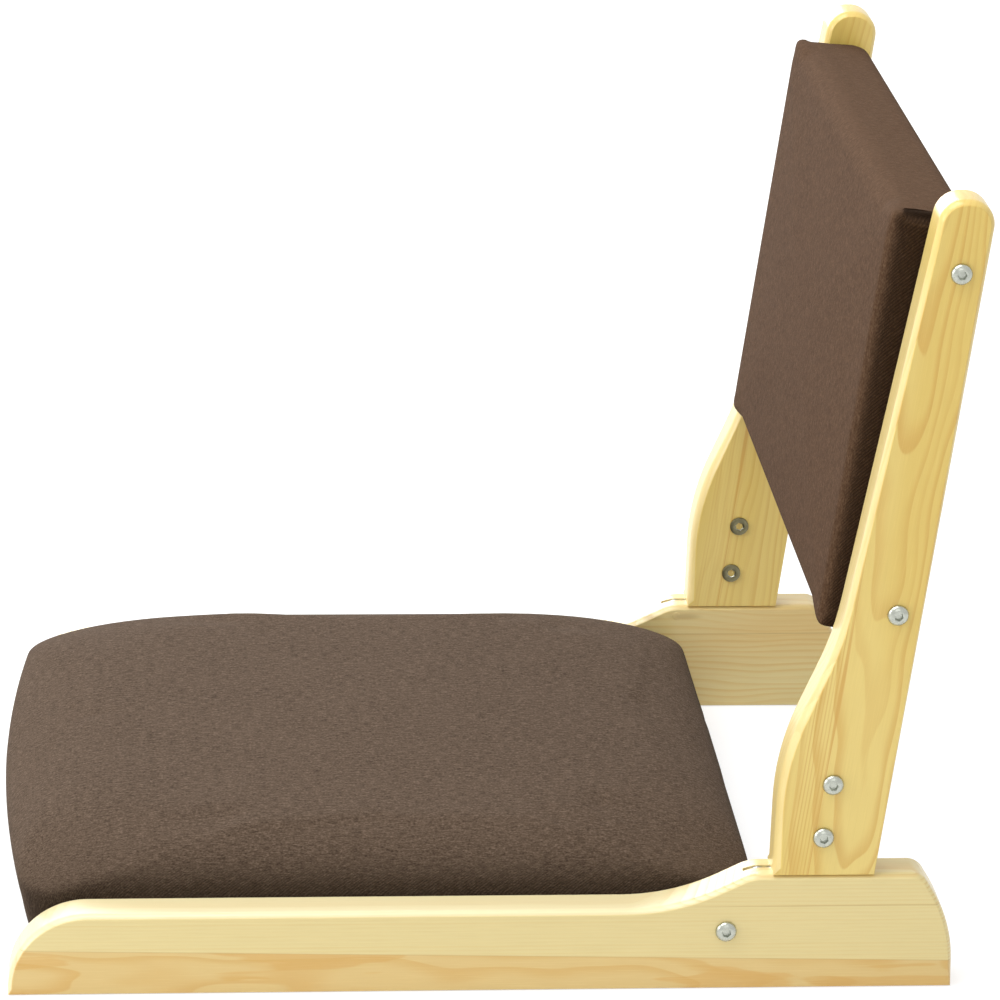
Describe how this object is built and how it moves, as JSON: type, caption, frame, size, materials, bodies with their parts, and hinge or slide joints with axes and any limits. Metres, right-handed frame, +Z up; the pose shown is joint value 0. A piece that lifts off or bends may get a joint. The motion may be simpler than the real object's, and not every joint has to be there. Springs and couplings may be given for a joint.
{
  "type": "folding floor chair",
  "caption": "Legless wooden floor chair: a padded seat lies between two low side rails, and a padded back between two uprights folds forward onto the seat.",
  "frame": {"origin": "on the floor, at the middle of the chair's outline seen from above", "axes": "+X to the sitter's left, -Y to the front, where the seated person's feet point, +Z up"},
  "size_m": [0.426, 0.4984, 0.427],
  "materials": {
    "pine": "clear satin lacquer",
    "pine_plug": "clear satin lacquer",
    "plywood": "raw",
    "beech": "raw",
    "foam": "open-cell foam",
    "woven_fabric": "woven melange",
    "lining_fabric": "woven melange",
    "zinc_steel": "bright zinc",
    "plain_steel": "plain",
    "bronzed_steel": "dark bronzed"
  },
  "bodies": {
    "base": {"left_rail": "pine", "right_rail": "pine", "seat_front_beam": "pine", "seat_rear_beam": "pine", "seat_board": "plywood", "seat_foam": "foam", "seat_cover": "woven_fabric", "seat_bolts": "zinc_steel", "seat_barrel_nuts": "plain_steel", "seat_dowels": "beech", "seat_board_screws": "zinc_steel", "left_hinge_pin": "plain_steel", "right_hinge_pin": "plain_steel", "hinge_pin_plugs": "pine_plug"},
    "backrest": {"left_upright": "pine", "right_upright": "pine", "left_hinge_tongue": "plain_steel", "right_hinge_tongue": "plain_steel", "hinge_bolts": "zinc_steel", "hinge_sleeve_nuts": "bronzed_steel", "back_board": "plywood", "back_foam": "foam", "back_cover": "woven_fabric", "back_lining": "lining_fabric", "back_bolts": "zinc_steel", "back_insert_nuts": "bronzed_steel"}
  },
  "joints": [
    {"name": "back_fold", "type": "hinge", "parent": "base", "child": "backrest", "pos_m": [0, 0.14635, 0.0579], "axis": [1, 0, 0], "range_deg": [0, 93]}
  ]
}
